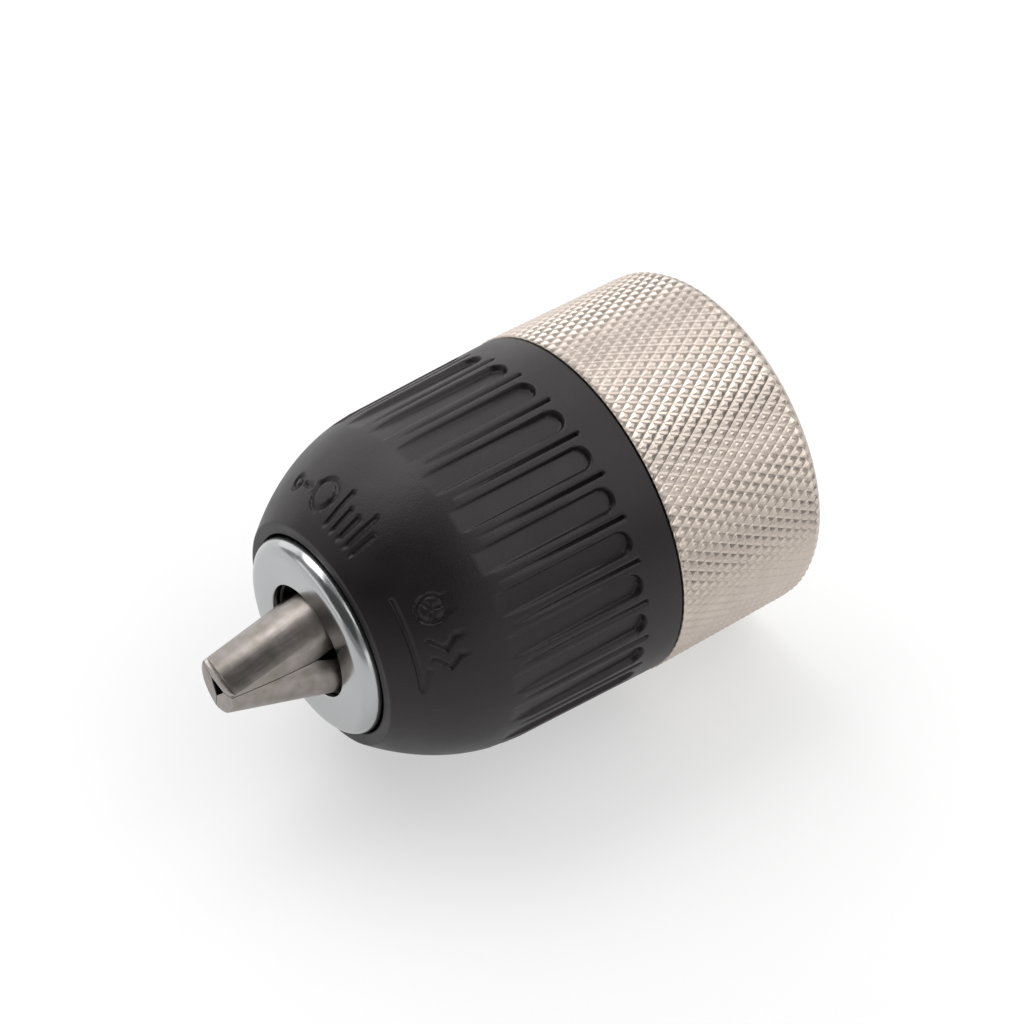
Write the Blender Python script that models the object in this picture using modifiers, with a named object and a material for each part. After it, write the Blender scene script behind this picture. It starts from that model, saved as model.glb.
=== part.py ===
"""Keyless drill chuck for 2 to 13 mm shanks, modelled with its jaws closed.

The chuck lies along Y. Its nose points to -Y and its spindle socket opens to +Y. The origin is on the
spin axis, halfway between the jaw tips and the rear face. Every piece is modelled in an axis frame whose
+Z runs along the spin axis from nose to rear, with its zero at the seam between the two sleeves. One
empty turns that frame into place.

Turning the front sleeve turns a conical split nut, whose thread pushes three inclined jaws along their
bores. A caged ball bearing takes the thrust between the nut and the flange of the body.
"""
import math

import bmesh
import bpy
from mathutils import Matrix, Vector

# Overall stations along the axis, from the seam, and radii, all in metres
TIP = -0.0486
REAR_END = 0.0215
SEAM_Y = -(TIP + REAR_END) / 2
SEAM_HALF_GAP = 0.00015
CLEARANCE = 0.0003
EDGE_BREAK = 0.0003

# How finely the shapes are made, and how far a cutter reaches past what it cuts
TURNED_SIDES = 36
SLEEVE_SIDES = 50
REAR_SLEEVE_SIDES = 48
RING_SIDES = 48
JAW_SIDES = 24
FILLET_STEPS = 3
DOME_STEPS = 6
FLUTE_END_STEPS = 6
POCKET_SIDES = 8
BALL_SIDES = (8, 6)
THREAD_STEPS = 36
SHARP_EDGE = math.radians(35)
SAME_PLACE = 0.00001
OVERCUT = 0.0005
BEYOND = 0.030

# Jaws: round rods whose centre lines cross the spin axis at one point
JAW_COUNT = 3
JAW_RADIUS = 0.0040
JAW_ANGLE = math.radians(15.9)
JAW_CROSSING = -0.0446
JAW_FRONT = -0.0070
JAW_REAR = 0.0377
JAW_REAR_CHAMFER = 0.0012
JAW_START = math.radians(-79.3)
JAW_FACE_GAP = 0.00008
JAW_BORE_FRONT = 0.0050
BORE_RADIUS = 0.0042
LAND_RADIUS = 0.00075
CAPACITY_RADIUS = 0.0065
STEPPED_JAW = 0
TIP_STEP_START = 0.0019
TIP_STEP_DEPTH = 0.00045
RELIEF_FRONT = -0.0382
RELIEF_SLOPE_END = -0.0364
RELIEF_REAR = -0.0200
RELIEF_DEPTH = 0.00065
RELIEF_INSIDE = 0.0020
RELIEF_OUTSIDE = 0.0120

# Thread between the nut and the jaws
LEAD = 0.0025
CREST_DEPTH = 0.0010
CREST_HALF_WIDTH = 0.000375
FLANK_SLOPE = 0.30
THREAD_ROOT = 0.00025
THREAD_CLEARANCE = 0.00018
THREAD_TURNS = 2.1
GROOVE_HALF_SPAN = math.radians(22)
JAW_THREAD_FRONT = -0.0362
JAW_THREAD_REAR = -0.0082

# Split nut and its band
NUT_FRONT = -0.0150
NUT_REAR = -0.0090
NUT_RADIUS = 0.0165
BAND_INNER = 0.0168
BAND_OUTER = 0.0180
LUG_COUNT = 3
LUG_WIDTH = 0.0030
LUG_HEIGHT = 0.0008
LUG_INSET = 0.0006
LUG_SLOT_FRONT = -0.0152
LUG_SLOT_REAR = 0.0010

# Thrust bearing
BALL_COUNT = 16
BALL_RADIUS = 0.00125
PITCH_RADIUS = 0.0172
BALL_STATION = -0.0062
RACE_GROOVE = 0.00135
RACE_FACE = 0.00105
RACE_THICKNESS = 0.0014
RACE_OUTER = 0.0185
FRONT_RACE_INNER = 0.0153
REAR_RACE_INNER = 0.01605
CAGE_INNER = 0.0155
CAGE_OUTER = 0.0188
CAGE_THICKNESS = 0.0009
POCKET_RADIUS = 0.00138

# Nose ring
RING_FRONT = -0.0368
RING_REAR = -0.0315
RING_RADIUS = 0.01215
RING_WALL = 0.0007
RING_HOLE = 0.00692
RING_HOLE_REAR = 0.00705
RING_FILLET = 0.0016
RING_INNER_CORNER = 0.0005

# Front sleeve: an elliptical dome that runs into a slight cone
DOME_FRONT = -0.0350
DOME_START = -0.0184
DOME_AXIAL = 0.0367
DOME_RADIAL = 0.06475
DOME_RADIUS = 0.02088
SEAM_RADIUS = 0.0215
LIP_RADIUS = 0.0124
LIP_REAR = -0.0265
THROAT_RADIUS = 0.0160
THROAT_REAR = -0.0235
BAND_BORE_RADIUS = 0.01845
BAND_BORE_FRONT = -0.0175
RACE_BORE_RADIUS = 0.01905
FLUTE_COUNT = 25
FLUTE_START = math.radians(-47.1)
FLUTE_WIDTH = 0.0031
FLUTE_CUT_FRONT = -0.0290
FLUTE_FRONT = -0.0235
FLUTE_REAR = -0.0050
FLUTE_FLOOR_FRONT = 0.0204
FLUTE_FLOOR_REAR = 0.0207
FLUTE_CUT_HEIGHT = 0.0030

# Rear sleeve
SLEEVE_RADIUS = 0.02163
SLEEVE_INNER = 0.0202
SLEEVE_CORNER = 0.0020
SLEEVE_LIP = 0.0175
SLEEVE_LIP_WALL = 0.0016

# Body
NOSE_RADIUS = 0.01115
BARREL_RADIUS = 0.0122
BARREL_REAR = -0.0162
NUT_SEAT_RADIUS = 0.0112
NUT_SEAT_FRONT = -0.0158
BIT_BORE = 0.0067
BIT_BORE_END = -0.0055
SCREW_HOLE = 0.0033
SOCKET_RADIUS = 0.00573
SOCKET_FLOOR = 0.0050
SOCKET_CHAMFER = 0.0008
HUB_FACE = 0.0210
HUB_RADIUS = 0.0172
BODY_FRONT = -0.0358
NOSE_SHOULDER = -0.0312
WAIST_RADIUS = 0.0146
PILOT_RADIUS = 0.0158
PILOT_FRONT = -0.0052
FLANGE_RADIUS = 0.01855
FLANGE_FRONT = -0.00345
FLANGE_REAR = 0.0015
TAIL_RADIUS = 0.0170
SEAT_RADIUS = 0.01995
SEAT_FRONT = 0.0138
SEAT_REAR = 0.0196


def jaw_centre(station):
    """Distance of a jaw's centre line from the spin axis at a station."""
    return (station - JAW_CROSSING) * math.tan(JAW_ANGLE)


def jaw_edge(station):
    """Radius of the outermost line of a jaw at a station."""
    return jaw_centre(station) + JAW_RADIUS / math.cos(JAW_ANGLE)


def dome_radius(station):
    """Radius of the front sleeve's outer surface at a station."""
    if station >= DOME_START:
        share = (station - DOME_START) / -DOME_START
        return DOME_RADIUS + share * (SEAM_RADIUS - DOME_RADIUS)
    reach = (station - DOME_START) / DOME_AXIAL
    return DOME_RADIUS - DOME_RADIAL * (1 - math.sqrt(1 - reach * reach))


def clear_scene():
    for old in list(bpy.data.objects):
        bpy.data.objects.remove(old, do_unlink=True)


def new_collection(name, hidden=False):
    made = bpy.data.collections.new(name)
    made.hide_render = hidden
    bpy.context.scene.collection.children.link(made)
    return made


def new_material(name, colour, roughness, metallic):
    made = bpy.data.materials.new(name)
    made.use_nodes = True
    shader = made.node_tree.nodes["Principled BSDF"]
    shader.inputs["Base Color"].default_value = (*colour, 1.0)
    shader.inputs["Roughness"].default_value = roughness
    shader.inputs["Metallic"].default_value = metallic
    return made


clear_scene()
PARTS = new_collection("drill_chuck")
CUTTERS = new_collection("cutters", hidden=True)

STEEL = new_material("machined_steel", (0.45, 0.44, 0.43), 0.35, 1.0)
JAW_STEEL = new_material("jaw_steel", (0.42, 0.38, 0.35), 0.30, 1.0)
BRIGHT = new_material("bright_plate", (0.78, 0.79, 0.80), 0.12, 1.0)
NICKEL = new_material("nickel_plate", (0.72, 0.67, 0.60), 0.30, 1.0)
BLACK = new_material("black_nylon", (0.030, 0.028, 0.030), 0.45, 0.0)
BRASS = new_material("cage_brass", (0.60, 0.45, 0.20), 0.35, 1.0)

AXIS = bpy.data.objects.new("chuck_axis", None)
AXIS.location = (0, SEAM_Y, 0)
AXIS.rotation_euler = (-math.pi / 2, 0, 0)
PARTS.objects.link(AXIS)


def place(name, mesh, material=None, parent=AXIS):
    """A named part, or a cutter where no material is given."""
    made = bpy.data.objects.new(name, mesh)
    made.parent = parent
    if material:
        mesh.materials.append(material)
        PARTS.objects.link(made)
    else:
        made.hide_render = True
        made.display_type = "WIRE"
        CUTTERS.objects.link(made)
    return made


def cut(part, cutter, operation="DIFFERENCE"):
    boolean = part.modifiers.new(cutter.name, "BOOLEAN")
    boolean.operation = operation
    boolean.solver = "EXACT"
    boolean.object = cutter


def settle(part):
    """Applies a part's modifiers and shades it smooth between its sharp edges."""
    bpy.context.view_layer.update()
    graph = bpy.context.evaluated_depsgraph_get()
    solid = bpy.data.meshes.new_from_object(part.evaluated_get(graph))
    part.modifiers.clear()
    part.data = solid
    solid.shade_smooth()
    solid.set_sharp_from_angle(angle=SHARP_EDGE)


def to_mesh(name, shape):
    """Closes a bmesh with its faces pointing out and makes a mesh of it."""
    bmesh.ops.recalc_face_normals(shape, faces=shape.faces)
    mesh = bpy.data.meshes.new(name)
    shape.to_mesh(mesh)
    shape.free()
    return mesh


def arc(centre, radius, start, end, steps):
    """Points of an arc in the (radius, station) plane, with its angles in degrees."""
    angles = [math.radians(start + (end - start) * i / steps) for i in range(steps + 1)]
    return [(centre[0] + radius * math.cos(a), centre[1] + radius * math.sin(a)) for a in angles]


def turned(name, profile, segments, material=None):
    """A ring turned from a closed outline of (radius, station) points."""
    ahead = profile[1:] + profile[:1]
    area = sum(a[0] * b[1] - b[0] * a[1] for a, b in zip(profile, ahead))
    if area > 0:
        profile = profile[::-1]
    shape = bmesh.new()
    points = [shape.verts.new((radius, 0, station)) for radius, station in profile]
    for index, point in enumerate(points):
        shape.edges.new((point, points[(index + 1) % len(points)]))
    mesh = bpy.data.meshes.new(name)
    shape.to_mesh(mesh)
    shape.free()
    made = place(name, mesh, material)
    screw = made.modifiers.new("turn", "SCREW")
    screw.axis = "Z"
    screw.angle = 2 * math.pi
    screw.steps = segments
    screw.render_steps = segments
    screw.use_merge_vertices = True
    screw.merge_threshold = SAME_PLACE
    screw.use_smooth_shade = False
    return made


def cylinder(radius, low, high, sides, transform=Matrix()):
    """A bmesh cylinder along Z from low to high."""
    shape = bmesh.new()
    middle = Matrix.Translation((0, 0, (low + high) / 2))
    bmesh.ops.create_cone(
        shape, cap_ends=True, segments=sides, radius1=radius, radius2=radius,
        depth=high - low, matrix=transform @ middle,
    )
    return shape


def add_box(shape, low, high, transform=Matrix()):
    size = Vector(high) - Vector(low)
    middle = (Vector(high) + Vector(low)) / 2
    matrix = transform @ Matrix.Translation(middle) @ Matrix.Diagonal((*size, 1))
    bmesh.ops.create_cube(shape, size=1, matrix=matrix)


def add_prism(shape, outline, direction):
    """Adds a flat outline of points, swept along a direction."""
    face = shape.faces.new([shape.verts.new(point) for point in outline])
    swept = bmesh.ops.extrude_face_region(shape, geom=[face])["geom"]
    moved = [item for item in swept if isinstance(item, bmesh.types.BMVert)]
    bmesh.ops.translate(shape, verts=moved, vec=direction)


def add_helical_bar(shape, section, station, start, end, shift=Vector()):
    """Adds a bar that follows the nut's conical thread between two angles.

    A point of section is (offset along the axis, radius beyond the jaws' outer edge)."""
    steps = round((end - start) / (2 * math.pi) * THREAD_STEPS)
    rings = []
    for step in range(steps + 1):
        angle = start + (end - start) * step / steps
        middle = station + LEAD * angle / (2 * math.pi)
        ring = []
        for offset, beyond in section:
            radius = jaw_edge(middle + offset) + beyond
            point = Vector((radius * math.cos(angle), radius * math.sin(angle), middle + offset))
            ring.append(shape.verts.new(point + shift))
        rings.append(ring)
    count = len(section)
    for near, far in zip(rings, rings[1:]):
        for i in range(count):
            j = (i + 1) % count
            shape.faces.new((near[i], near[j], far[j], far[i]))
    shape.faces.new(rings[0])
    shape.faces.new(rings[-1][::-1])


def jaw_bearing(index):
    """Angle of a jaw around the axis."""
    return JAW_START + index * 2 * math.pi / JAW_COUNT


def rod_matrix(index):
    """Axis frame from a jaw's own frame, whose Z is the jaw's centre line."""
    spin = Matrix.Rotation(jaw_bearing(index), 4, "Z")
    tilt = Matrix.Rotation(JAW_ANGLE, 4, "Y")
    return Matrix.Translation((0, 0, JAW_CROSSING)) @ spin @ tilt


def jaw_travel():
    """How far a jaw slides along its centre line from closed to full capacity."""
    return (CAPACITY_RADIUS - LAND_RADIUS) / math.sin(JAW_ANGLE)


def make_body():
    profile = [
        (BIT_BORE, BODY_FRONT), (NOSE_RADIUS, BODY_FRONT), (NOSE_RADIUS, NOSE_SHOULDER),
        (BARREL_RADIUS, NOSE_SHOULDER), (BARREL_RADIUS, BARREL_REAR),
        (NUT_SEAT_RADIUS, NUT_SEAT_FRONT), (NUT_SEAT_RADIUS, NUT_REAR), (WAIST_RADIUS, NUT_REAR),
        (WAIST_RADIUS, PILOT_FRONT), (PILOT_RADIUS, PILOT_FRONT), (PILOT_RADIUS, FLANGE_FRONT),
        (FLANGE_RADIUS, FLANGE_FRONT), (FLANGE_RADIUS, FLANGE_REAR), (TAIL_RADIUS, FLANGE_REAR),
        (TAIL_RADIUS, SEAT_FRONT), (SEAT_RADIUS, SEAT_FRONT), (SEAT_RADIUS, SEAT_REAR),
        (HUB_RADIUS, SEAT_REAR), (HUB_RADIUS, HUB_FACE), (SOCKET_RADIUS + SOCKET_CHAMFER, HUB_FACE),
        (SOCKET_RADIUS, HUB_FACE - SOCKET_CHAMFER), (SOCKET_RADIUS, SOCKET_FLOOR), (SCREW_HOLE, SOCKET_FLOOR),
        (SCREW_HOLE, BIT_BORE_END), (BIT_BORE, BIT_BORE_END),
    ]
    body = turned("chuck_body", profile, TURNED_SIDES, STEEL)
    rear = JAW_REAR + jaw_travel() + CLEARANCE
    for index in range(JAW_COUNT):
        shape = cylinder(BORE_RADIUS, JAW_BORE_FRONT, rear, JAW_SIDES, rod_matrix(index))
        cut(body, place(f"jaw_bore_{index + 1}", to_mesh("jaw_bore", shape)))
    settle(body)


def groove_cutters(index):
    """The thread grooves of one jaw: the nut's thread, repeated along the jaw's centre line."""
    bearing = jaw_bearing(index)
    middle = (NUT_FRONT + NUT_REAR) / 2
    phase = LEAD * bearing / (2 * math.pi)
    nearest = round(-phase / LEAD)
    outward = Vector((math.cos(bearing), math.sin(bearing), 0)) * math.tan(JAW_ANGLE)
    low, high = -CREST_DEPTH - CLEARANCE, CREST_DEPTH
    widths = [CREST_HALF_WIDTH + FLANK_SLOPE * (r + CREST_DEPTH) + THREAD_CLEARANCE for r in (low, high)]
    section = [(-widths[0], low), (-widths[1], high), (widths[1], high), (widths[0], low)]
    shape = bmesh.new()
    turns = math.ceil((NUT_REAR - JAW_THREAD_FRONT) / LEAD)
    for step in range(-turns, turns):
        station = middle + phase + (nearest + step) * LEAD
        if not JAW_THREAD_FRONT <= station <= JAW_THREAD_REAR:
            continue
        shift = (outward + Vector((0, 0, 1))) * step * LEAD
        centre = middle + nearest * LEAD
        add_helical_bar(
            shape, section, centre, bearing - GROOVE_HALF_SPAN, bearing + GROOVE_HALF_SPAN, shift,
        )
    return place(f"jaw_grooves_{index + 1}", to_mesh("jaw_grooves", shape))


def jaw_wedge(index):
    """The third of the space around the axis that one jaw fills, less a flat bit-gripping land."""
    slope = math.tan(math.pi / JAW_COUNT)
    back_off = JAW_FACE_GAP / math.cos(math.pi / JAW_COUNT)
    near_side = LAND_RADIUS * slope - back_off
    far_side = BEYOND * slope - back_off
    outline = [(LAND_RADIUS, -near_side), (BEYOND, -far_side), (BEYOND, far_side), (LAND_RADIUS, near_side)]
    spin = Matrix.Rotation(jaw_bearing(index), 4, "Z")
    shape = bmesh.new()
    add_prism(shape, [spin @ Vector((x, y, TIP)) for x, y in outline], Vector((0, 0, BEYOND - TIP)))
    return place(f"jaw_wedge_{index + 1}", to_mesh("jaw_wedge", shape))


def tip_step(index):
    """Cutter of the step on the outer side of a jaw's tip: a wall, and a ledge square to the rod."""
    front, foot = TIP - OVERCUT, TIP + TIP_STEP_DEPTH
    reach = (foot - front) / math.tan(JAW_ANGLE)
    outline = [(TIP_STEP_START, front), (TIP_STEP_START, foot), (TIP_STEP_START + reach, front)]
    spin = Matrix.Rotation(jaw_bearing(index), 4, "Z")
    shape = bmesh.new()
    add_prism(shape, [spin @ Vector((x, -BEYOND, z)) for x, z in outline], spin @ Vector((0, 2 * BEYOND, 0)))
    return place(f"tip_step_{index + 1}", to_mesh("tip_step", shape))


def flank_relief(index, side):
    """Cutter that sets one flank of a jaw back behind its tip, down a short slope."""
    flank = math.pi / JAW_COUNT
    spin = Matrix.Rotation(jaw_bearing(index), 4, "Z")
    outward = spin @ Vector((-math.sin(flank), side * math.cos(flank), 0))
    along = spin @ Vector((math.cos(flank), side * math.sin(flank), 0))
    outline = [
        (0, RELIEF_FRONT), (-RELIEF_DEPTH, RELIEF_SLOPE_END), (-RELIEF_DEPTH, RELIEF_REAR), (0, RELIEF_REAR),
    ]
    near = [outward * away - along * RELIEF_INSIDE + Vector((0, 0, z)) for away, z in outline]
    shape = bmesh.new()
    add_prism(shape, near, along * (RELIEF_INSIDE + RELIEF_OUTSIDE))
    return place(f"flank_relief_{index + 1}", to_mesh("flank_relief", shape))


def make_jaw(index):
    """One jaw, in a frame of its own whose Z is the line it slides along."""
    frame = bpy.data.objects.new(f"jaw_line_{index + 1}", None)
    PARTS.objects.link(frame)
    frame.parent = AXIS
    frame.matrix_local = rod_matrix(index)
    shape = cylinder(JAW_RADIUS, JAW_FRONT, JAW_REAR, JAW_SIDES)
    rim = [e for e in shape.edges if all(v.co.z > JAW_REAR - SAME_PLACE for v in e.verts)]
    bmesh.ops.bevel(shape, geom=rim, offset=JAW_REAR_CHAMFER, segments=1, affect="EDGES")
    jaw = place(f"jaw_{index + 1}", to_mesh("jaw", shape), JAW_STEEL, frame)
    cut(jaw, jaw_wedge(index), "INTERSECT")
    for side in (1, -1):
        cut(jaw, flank_relief(index, side))
    if index == STEPPED_JAW:
        cut(jaw, tip_step(index))
    cut(jaw, groove_cutters(index))
    settle(jaw)


def thread_cutter():
    """The space between the turns of the nut's thread."""
    root_half = LEAD / 2 - CREST_HALF_WIDTH - FLANK_SLOPE * (THREAD_ROOT + CREST_DEPTH)
    inner = -CREST_DEPTH - OVERCUT
    inner_half = LEAD / 2 - CREST_HALF_WIDTH - FLANK_SLOPE * (inner + CREST_DEPTH)
    section = [(-inner_half, inner), (-root_half, THREAD_ROOT), (root_half, THREAD_ROOT), (inner_half, inner)]
    middle = (NUT_FRONT + NUT_REAR) / 2 + LEAD / 2
    reach = 2 * math.pi * THREAD_TURNS
    shape = bmesh.new()
    add_helical_bar(shape, section, middle, -reach, reach)
    return place("nut_thread", to_mesh("nut_thread", shape))


def make_nut():
    """The conical nut, broken into two halves so that it can be put round the body."""
    profile = [
        (jaw_edge(NUT_FRONT) - CREST_DEPTH, NUT_FRONT), (NUT_RADIUS, NUT_FRONT),
        (NUT_RADIUS, NUT_REAR), (jaw_edge(NUT_REAR) - CREST_DEPTH, NUT_REAR),
    ]
    thread = thread_cutter()
    for name, side in (("split_nut_a", 1), ("split_nut_b", -1)):
        half = turned(name, profile, TURNED_SIDES, STEEL)
        cut(half, thread)
        shape = bmesh.new()
        split = CLEARANCE / 2 * side
        ends = sorted((split, -BEYOND * side))
        add_box(shape, (-BEYOND, ends[0], -BEYOND), (BEYOND, ends[1], BEYOND))
        cut(half, place(f"{name}_other_side", to_mesh("half_space", shape)))
        settle(half)


def lug_boxes(shape, width, top, low, high):
    """Adds the driving lugs, or the slots that take them, round the axis."""
    for index in range(LUG_COUNT):
        spin = Matrix.Rotation(2 * math.pi * index / LUG_COUNT, 4, "Z")
        add_box(shape, (BAND_OUTER - OVERCUT, -width / 2, low), (top, width / 2, high), spin)


def make_nut_band():
    profile = [
        (BAND_INNER, NUT_FRONT), (BAND_OUTER, NUT_FRONT), (BAND_OUTER, NUT_REAR), (BAND_INNER, NUT_REAR),
    ]
    band = turned("nut_band", profile, TURNED_SIDES, STEEL)
    shape = bmesh.new()
    lug_boxes(shape, LUG_WIDTH, BAND_OUTER + LUG_HEIGHT, NUT_FRONT + LUG_INSET, NUT_REAR - LUG_INSET)
    cut(band, place("band_lugs", to_mesh("band_lugs", shape)), "UNION")
    settle(band)


def make_race(name, inner, side):
    """A bearing washer whose grooved face looks at the balls. side is +1 for the rear one."""
    face = BALL_STATION + side * RACE_FACE
    back = face + side * RACE_THICKNESS
    half = math.degrees(math.asin(RACE_FACE / RACE_GROOVE))
    groove = arc((PITCH_RADIUS, BALL_STATION), RACE_GROOVE, side * half, side * (180 - half), FILLET_STEPS)
    profile = [(RACE_OUTER, back), (RACE_OUTER, face), *groove, (inner, face), (inner, back)]
    settle(turned(name, profile, TURNED_SIDES, STEEL))


def ball_places():
    for index in range(BALL_COUNT):
        angle = 2 * math.pi * index / BALL_COUNT
        yield index, Vector((PITCH_RADIUS * math.cos(angle), PITCH_RADIUS * math.sin(angle), BALL_STATION))


def make_bearing():
    make_race("race_front", FRONT_RACE_INNER, -1)
    make_race("race_rear", REAR_RACE_INNER, 1)
    low, high = BALL_STATION - CAGE_THICKNESS / 2, BALL_STATION + CAGE_THICKNESS / 2
    outline = [(CAGE_INNER, low), (CAGE_OUTER, low), (CAGE_OUTER, high), (CAGE_INNER, high)]
    cage = turned("ball_cage", outline, 2 * BALL_COUNT, BRASS)
    pockets = bmesh.new()
    for _, centre in ball_places():
        middle = Matrix.Translation(centre)
        bmesh.ops.create_cone(
            pockets, cap_ends=True, segments=POCKET_SIDES, radius1=POCKET_RADIUS, radius2=POCKET_RADIUS,
            depth=3 * CAGE_THICKNESS, matrix=middle,
        )
    cut(cage, place("cage_pockets", to_mesh("cage_pockets", pockets)))
    settle(cage)
    ball = bmesh.new()
    across, along = BALL_SIDES
    bmesh.ops.create_uvsphere(ball, u_segments=across, v_segments=along, radius=BALL_RADIUS)
    mesh = to_mesh("ball", ball)
    mesh.materials.append(STEEL)
    mesh.shade_smooth()
    for index, centre in ball_places():
        made = bpy.data.objects.new(f"ball_{index + 1:02d}", mesh)
        PARTS.objects.link(made)
        made.parent = AXIS
        made.location = centre


def make_nose_ring():
    fillet = (RING_RADIUS - RING_FILLET, RING_FRONT + RING_FILLET)
    inner_radius, inner_front = RING_RADIUS - RING_WALL, RING_FRONT + RING_WALL
    profile = [
        (RING_HOLE, RING_FRONT), *arc(fillet, RING_FILLET, -90, 0, FILLET_STEPS), (RING_RADIUS, RING_REAR),
        (inner_radius, RING_REAR), (inner_radius, inner_front + RING_INNER_CORNER),
        (inner_radius - RING_INNER_CORNER, inner_front), (RING_HOLE_REAR, inner_front),
    ]
    settle(turned("nose_ring", profile, RING_SIDES, BRIGHT))


def add_flute(shape, angle):
    """Adds the cutter of one flute: a long slot with a half-round rear end and a sloping floor."""
    half = FLUTE_WIDTH / 2
    rear_end = arc((0, FLUTE_REAR - half), half, 180, 0, FLUTE_END_STEPS)
    outline = [(-half, FLUTE_CUT_FRONT), *rear_end, (half, FLUTE_CUT_FRONT)]
    slope = (FLUTE_FLOOR_REAR - FLUTE_FLOOR_FRONT) / (FLUTE_REAR - FLUTE_FRONT)
    spin = Matrix.Rotation(angle, 4, "Z")
    floor = [spin @ Vector((FLUTE_FLOOR_REAR + (z - FLUTE_REAR) * slope, y, z)) for y, z in outline]
    add_prism(shape, floor, spin @ Vector((FLUTE_CUT_HEIGHT, 0, 0)))


def make_front_sleeve():
    length = DOME_START - DOME_FRONT
    stations = [DOME_FRONT + length * i / DOME_STEPS for i in range(DOME_STEPS + 1)]
    dome = [(dome_radius(z), z) for z in stations]
    rear = -SEAM_HALF_GAP
    profile = [
        (LIP_RADIUS, DOME_FRONT), *dome,
        (dome_radius(rear), rear - EDGE_BREAK), (dome_radius(rear) - EDGE_BREAK, rear),
        (RACE_BORE_RADIUS, rear), (RACE_BORE_RADIUS, NUT_REAR), (BAND_BORE_RADIUS, NUT_REAR),
        (BAND_BORE_RADIUS, BAND_BORE_FRONT), (THROAT_RADIUS, THROAT_REAR), (LIP_RADIUS, LIP_REAR),
    ]
    sleeve = turned("front_sleeve", profile, SLEEVE_SIDES, BLACK)
    slots = bmesh.new()
    top = BAND_OUTER + LUG_HEIGHT + CLEARANCE
    lug_boxes(slots, LUG_WIDTH + 2 * CLEARANCE, top, LUG_SLOT_FRONT, LUG_SLOT_REAR)
    cut(sleeve, place("lug_slots", to_mesh("lug_slots", slots)))
    flutes = bmesh.new()
    for index in range(FLUTE_COUNT):
        add_flute(flutes, FLUTE_START + 2 * math.pi * index / FLUTE_COUNT)
    cut(sleeve, place("flutes", to_mesh("flutes", flutes)))
    settle(sleeve)


def make_rear_sleeve():
    corner = (SLEEVE_RADIUS - SLEEVE_CORNER, REAR_END - SLEEVE_CORNER)
    profile = [
        (SLEEVE_INNER, SEAM_HALF_GAP), (SLEEVE_RADIUS - EDGE_BREAK, SEAM_HALF_GAP),
        (SLEEVE_RADIUS, SEAM_HALF_GAP + EDGE_BREAK), *arc(corner, SLEEVE_CORNER, 0, 90, FILLET_STEPS),
        (SLEEVE_LIP, REAR_END), (SLEEVE_LIP, REAR_END - SLEEVE_LIP_WALL),
        (SLEEVE_INNER, REAR_END - SLEEVE_LIP_WALL),
    ]
    settle(turned("rear_sleeve", profile, REAR_SLEEVE_SIDES, NICKEL))


make_body()
for number in range(JAW_COUNT):
    make_jaw(number)
make_nut()
make_nut_band()
make_bearing()
make_nose_ring()
make_front_sleeve()
make_rear_sleeve()
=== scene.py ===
"""Looks of the keyless drill chuck: fine surfaces, materials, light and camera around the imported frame.

Lengths in this script are millimetres until a mesh is made, which turns them into metres. Shapes are
worked out in the chuck's axis frame: (x, y, s), where s runs along the spin axis from the nose to the rear
and is 0 at the seam between the two sleeves. A bearing is an angle round that axis, from x towards y.
"""

import math

import bmesh
import bpy
import numpy as np
from mathutils import Matrix, Vector


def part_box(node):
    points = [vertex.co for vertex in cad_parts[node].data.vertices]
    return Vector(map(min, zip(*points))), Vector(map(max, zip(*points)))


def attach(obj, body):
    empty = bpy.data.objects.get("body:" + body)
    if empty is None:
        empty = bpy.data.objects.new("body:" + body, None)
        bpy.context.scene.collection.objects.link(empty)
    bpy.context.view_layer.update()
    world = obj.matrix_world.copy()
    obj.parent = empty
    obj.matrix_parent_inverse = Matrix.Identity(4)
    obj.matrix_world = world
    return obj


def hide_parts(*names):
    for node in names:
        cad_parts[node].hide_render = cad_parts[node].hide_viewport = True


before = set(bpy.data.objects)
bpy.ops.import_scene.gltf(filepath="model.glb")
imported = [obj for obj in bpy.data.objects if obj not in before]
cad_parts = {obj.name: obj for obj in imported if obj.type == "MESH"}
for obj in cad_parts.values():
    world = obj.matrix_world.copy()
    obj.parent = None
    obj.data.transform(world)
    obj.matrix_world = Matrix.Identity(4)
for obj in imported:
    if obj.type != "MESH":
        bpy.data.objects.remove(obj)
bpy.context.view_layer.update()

MM = 0.001
SEAM_HALF_GAP = 0.15
SHOWN_HALF_GAP = 0.05
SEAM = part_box("front_sleeve")[1].y / MM + SEAM_HALF_GAP
NOSE_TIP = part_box("jaw_1")[0].y / MM - SEAM
REAR_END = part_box("rear_sleeve")[1].y / MM - SEAM
FLOOR_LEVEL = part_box("rear_sleeve")[0].z
AXIS_FRAME = Matrix(((1, 0, 0, 0), (0, 0, 1, SEAM * MM), (0, -1, 0, 0), (0, 0, 0, 1)))

# How finely round pieces are made, and how far a cutter reaches past what it cuts
RING_SIDES = 192
BODY_SIDES = 160
ROD_SIDES = 128
BORE_SIDES = 96
POCKET_SIDES = 40
SOCKET_ROWS = 160
NUT_ROWS, NUT_COLUMNS = 61, 120
BALL_SUBDIVISIONS = 4
SHARP_ANGLE = 35
OVERCUT = 0.5
BEYOND = 10.0
SAME_PLACE = 1e-7

# Edge break of the plain turned pieces
EDGE = 0.15

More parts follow.
